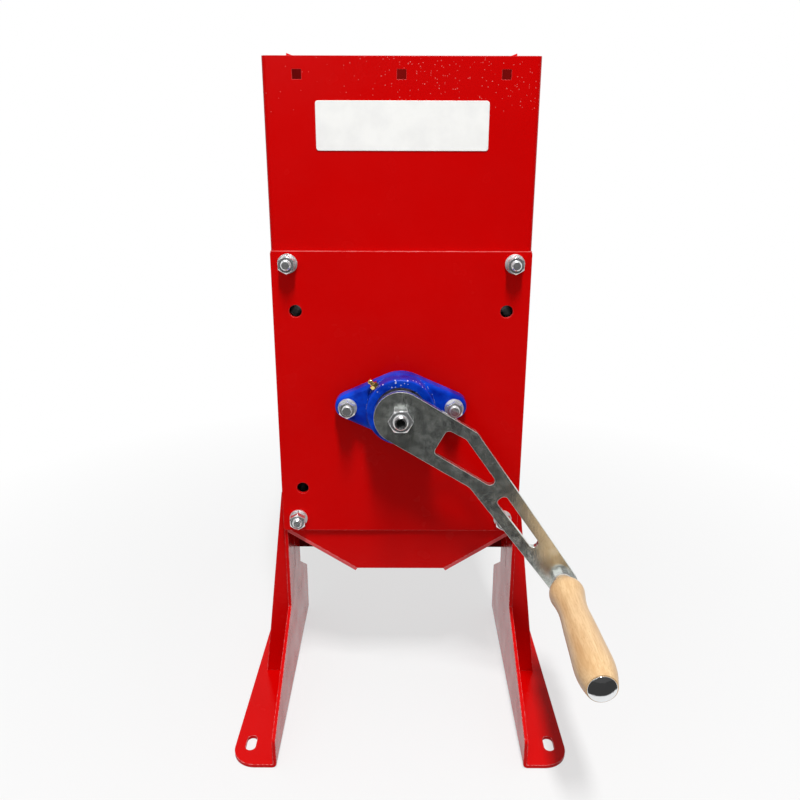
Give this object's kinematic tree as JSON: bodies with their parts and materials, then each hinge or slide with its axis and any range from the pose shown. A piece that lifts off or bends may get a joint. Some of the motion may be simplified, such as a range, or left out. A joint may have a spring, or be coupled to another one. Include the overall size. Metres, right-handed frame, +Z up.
{
  "type": "crank nut cracker",
  "caption": "Free-standing hand-cranked nut cracker: open sheet hopper over a toothed drum between two jaws, funnel outlet, two flanged legs and a cranked arm with a turned wooden grip.",
  "frame": {"origin": "on the floor, in the plane of symmetry of the body, midway between the front and rear plates and straight under the shaft's middle", "axes": "+X to the operator's right, +Y away from the operator along the shaft, +Z up"},
  "size_m": [0.2966, 0.3282, 0.575],
  "materials": {
    "red_paint": "gloss powder coat",
    "blue_casting": "gloss enamel over cast iron",
    "zinc": "bright zinc plate",
    "arm_steel": "zinc-plated cut plate, satin",
    "steel": "machined",
    "chrome": "polished",
    "brass": "machined",
    "seal_rubber": "matt",
    "beech": "clear varnish"
  },
  "bodies": {
    "body": {"chute_front": "red_paint", "chute_slope_left": "red_paint", "chute_slope_right": "red_paint", "front_balls": "steel", "front_bearing_housing": "blue_casting", "front_bearing_nuts": "zinc", "front_bearing_studs": "zinc", "front_bearing_washers": "zinc", "front_grease_nipple": "brass", "front_outer_ring": "steel", "front_plate": "red_paint", "front_seals": "seal_rubber", "gusset_front_left": "red_paint", "gusset_front_right": "red_paint", "gusset_rear_left": "red_paint", "gusset_rear_right": "red_paint", "hopper": "red_paint", "hopper_back": "red_paint", "jaw_left": "steel", "jaw_right": "steel", "leg_left": "red_paint", "leg_right": "red_paint", "rear_balls": "steel", "rear_bearing_housing": "blue_casting", "rear_bearing_nuts": "zinc", "rear_bearing_studs": "zinc", "rear_bearing_washers": "zinc", "rear_grease_nipple": "brass", "rear_outer_ring": "steel", "rear_plate": "red_paint", "rear_seals": "seal_rubber", "tie_bolts": "zinc", "tie_front_washers": "zinc", "tie_nuts": "zinc", "tie_rear_washers": "zinc", "tie_spring_washers": "zinc"},
    "crank": {"drive_shaft": "steel", "cracking_drum": "steel", "drum_key": "steel", "front_inner_ring": "steel", "rear_inner_ring": "steel", "front_grub_screws": "steel", "rear_grub_screws": "steel", "crank_arm": "arm_steel", "crank_nut": "zinc", "handle_axle": "chrome", "handle_lock_nut": "zinc", "handle_rear_nut": "zinc", "handle_washer": "zinc"},
    "grip": {"wooden_grip": "beech"}
  },
  "joints": [
    {"name": "crank_turn", "type": "hinge", "parent": "body", "child": "crank", "pos_m": [0, 0, 0.284], "axis": [0, 1, 0], "continuous": true},
    {"name": "grip_spin", "type": "hinge", "parent": "crank", "child": "grip", "pos_m": [0.13999, -0.15, 0.13699], "axis": [0, 1, 0], "continuous": true}
  ]
}
